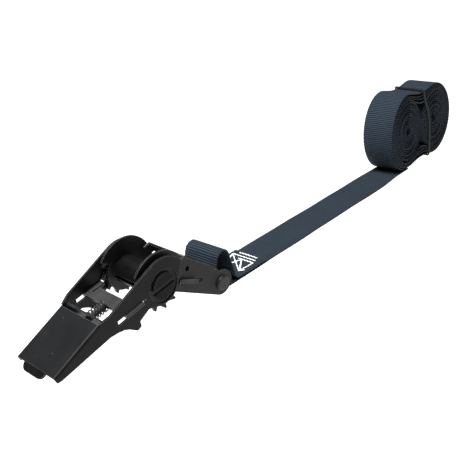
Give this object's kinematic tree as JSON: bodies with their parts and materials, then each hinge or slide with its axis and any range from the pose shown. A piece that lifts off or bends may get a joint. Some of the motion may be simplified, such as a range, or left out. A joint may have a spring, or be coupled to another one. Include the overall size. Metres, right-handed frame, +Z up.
{
  "type": "ratchet strap",
  "caption": "Ratchet strap: pressed-steel ratchet buckle with sprung pawls, on woven webbing whose spare length is rolled and tied.",
  "frame": {"origin": "middle of the footprint of the whole object, on the surface it lies on", "axes": "+Z up; +X from the buckle's handle towards the rolled webbing; -Y is the buckle's near side, with the bolt's head"},
  "size_m": [0.447, 0.0666, 0.0653],
  "materials": {
    "base_steel": "satin grey-black coated steel",
    "handle_steel": "satin dark coated steel",
    "pawl_zinc": "dull zinc plated steel",
    "spring_steel": "blackened spring wire",
    "bolt_zinc": "dark coated fastener",
    "spindle_steel": "dark satin coated steel",
    "wheel_steel": "dark coated steel",
    "webbing": "woven polyester, blue-black with transverse ribs",
    "thread": "white polyester sewing thread",
    "tie_rubber": "matt black elastic band"
  },
  "bodies": {
    "base": {"base_frame": "base_steel", "anchor_bolt": "bolt_zinc", "anchor_nut": "bolt_zinc", "anchor_washer": "bolt_zinc", "anchor_sleeve": "bolt_zinc", "lock_pawl_spring": "spring_steel"},
    "lock_pawl": {"lock_pawl": "pawl_zinc"},
    "handle": {"handle_frame": "handle_steel", "drive_pawl_spring": "spring_steel"},
    "drive_pawl": {"drive_pawl": "pawl_zinc"},
    "spindle": {"spindle_half_upper": "spindle_steel", "spindle_half_lower": "spindle_steel", "near_ratchet_wheel": "wheel_steel", "far_ratchet_wheel": "wheel_steel"},
    "strap": {"webbing_loop": "webbing", "webbing_stretch": "webbing", "webbing_roll": "webbing", "loop_stitching": "thread", "roll_tie_band": "tie_rubber"}
  },
  "joints": [
    {"name": "handle_swing", "type": "hinge", "parent": "base", "child": "handle", "pos_m": [-0.14502, -0.01368, 0.0272], "axis": [0, -1, 0], "range_deg": [-30, 120]},
    {"name": "spindle_spin", "type": "hinge", "parent": "base", "child": "spindle", "pos_m": [-0.14502, -0.01368, 0.0272], "axis": [0, -1, 0], "continuous": true},
    {"name": "drive_pawl_slide", "type": "slide", "parent": "handle", "child": "drive_pawl", "axis": [-0.965, 0, -0.2622], "range_m": [-0.0019, 0.003], "stiffness_N_per_m": 300, "deforming": ["drive_pawl_spring"]},
    {"name": "lock_pawl_slide", "type": "slide", "parent": "base", "child": "lock_pawl", "axis": [0.9326, 0, -0.361], "range_m": [0, 0.003], "stiffness_N_per_m": 300, "deforming": ["lock_pawl_spring"]},
    {"name": "strap_swivel", "type": "hinge", "parent": "base", "child": "strap", "pos_m": [-0.09541, -0.01368, 0.008], "axis": [0, -1, 0], "range_deg": [-80, 6]}
  ]
}
